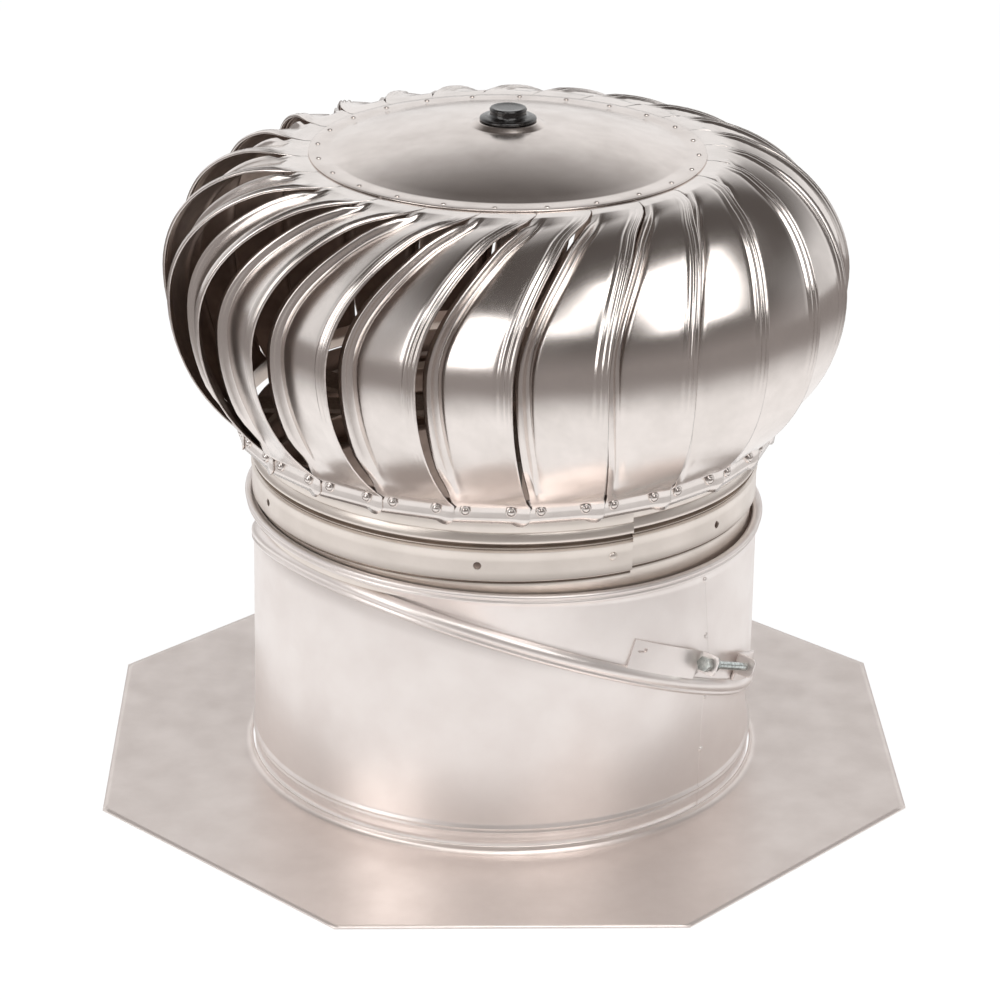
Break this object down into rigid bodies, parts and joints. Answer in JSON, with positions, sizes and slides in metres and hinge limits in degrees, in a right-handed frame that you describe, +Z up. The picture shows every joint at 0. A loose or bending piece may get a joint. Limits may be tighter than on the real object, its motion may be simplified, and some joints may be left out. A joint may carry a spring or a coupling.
{
  "type": "roof turbine ventilator",
  "caption": "Wind-driven roof ventilator: a vaned rotor on a fixed shaft over a two-piece duct whose tilted joint swivels to suit the roof's pitch, on an octagonal flashing.",
  "frame": {"origin": "centre of the underside of the flashing, on the duct's axis", "axes": "+Z up the duct; -Y towards the side on which the clamp bolt lies to the right; the joint of the base is highest towards 137 degrees clockwise from +X"},
  "size_m": [0.4838, 0.4838, 0.4036],
  "materials": {
    "vane_aluminium": "bright mill-finish sheet, softly reflective",
    "crown_aluminium": "bright spun sheet",
    "collar_aluminium": "satin mill-finish sheet",
    "base_aluminium": "satin mill-finish sheet",
    "bracket_steel": "plain strip steel",
    "shaft_steel": "turned bar",
    "bearing_steel": "ground bearing steel",
    "zinc_steel": "zinc plated",
    "black_rubber": "glossy moulded rubber"
  },
  "bodies": {
    "base": {"flashing": "base_aluminium", "base_lower": "base_aluminium"},
    "neck": {"base_upper": "base_aluminium", "clamp_band": "base_aluminium", "clamp_bolt": "zinc_steel", "clamp_nut": "zinc_steel", "collar": "collar_aluminium", "shaft_bracket": "bracket_steel", "shaft": "shaft_steel", "shaft_nuts": "zinc_steel", "thrust_collar": "shaft_steel", "retaining_ring": "shaft_steel"},
    "rotor": {"rotor_spider": "bracket_steel", "lower_bearing": "bearing_steel", "hoop": "vane_aluminium", "crown": "crown_aluminium", "crown_hub": "bracket_steel", "upper_bearing": "bearing_steel", "weather_cap": "black_rubber", "vane_01": "vane_aluminium", "vane_02": "vane_aluminium", "vane_03": "vane_aluminium", "vane_04": "vane_aluminium", "vane_05": "vane_aluminium", "vane_06": "vane_aluminium", "vane_07": "vane_aluminium", "vane_08": "vane_aluminium", "vane_09": "vane_aluminium", "vane_10": "vane_aluminium", "vane_11": "vane_aluminium", "vane_12": "vane_aluminium", "vane_13": "vane_aluminium", "vane_14": "vane_aluminium", "vane_15": "vane_aluminium", "vane_16": "vane_aluminium", "vane_17": "vane_aluminium", "vane_18": "vane_aluminium", "vane_19": "vane_aluminium", "vane_20": "vane_aluminium", "vane_21": "vane_aluminium", "vane_22": "vane_aluminium", "vane_23": "vane_aluminium", "vane_24": "vane_aluminium"}
  },
  "joints": [
    {"name": "base_swivel", "type": "hinge", "parent": "base", "child": "neck", "pos_m": [0, 0, 0.0915], "axis": [0.2799, 0.261, 0.9239], "range_deg": [0, 180]},
    {"name": "rotor_spin", "type": "hinge", "parent": "neck", "child": "rotor", "pos_m": [0, 0, 0.3], "axis": [0, 0, 1], "continuous": true}
  ]
}
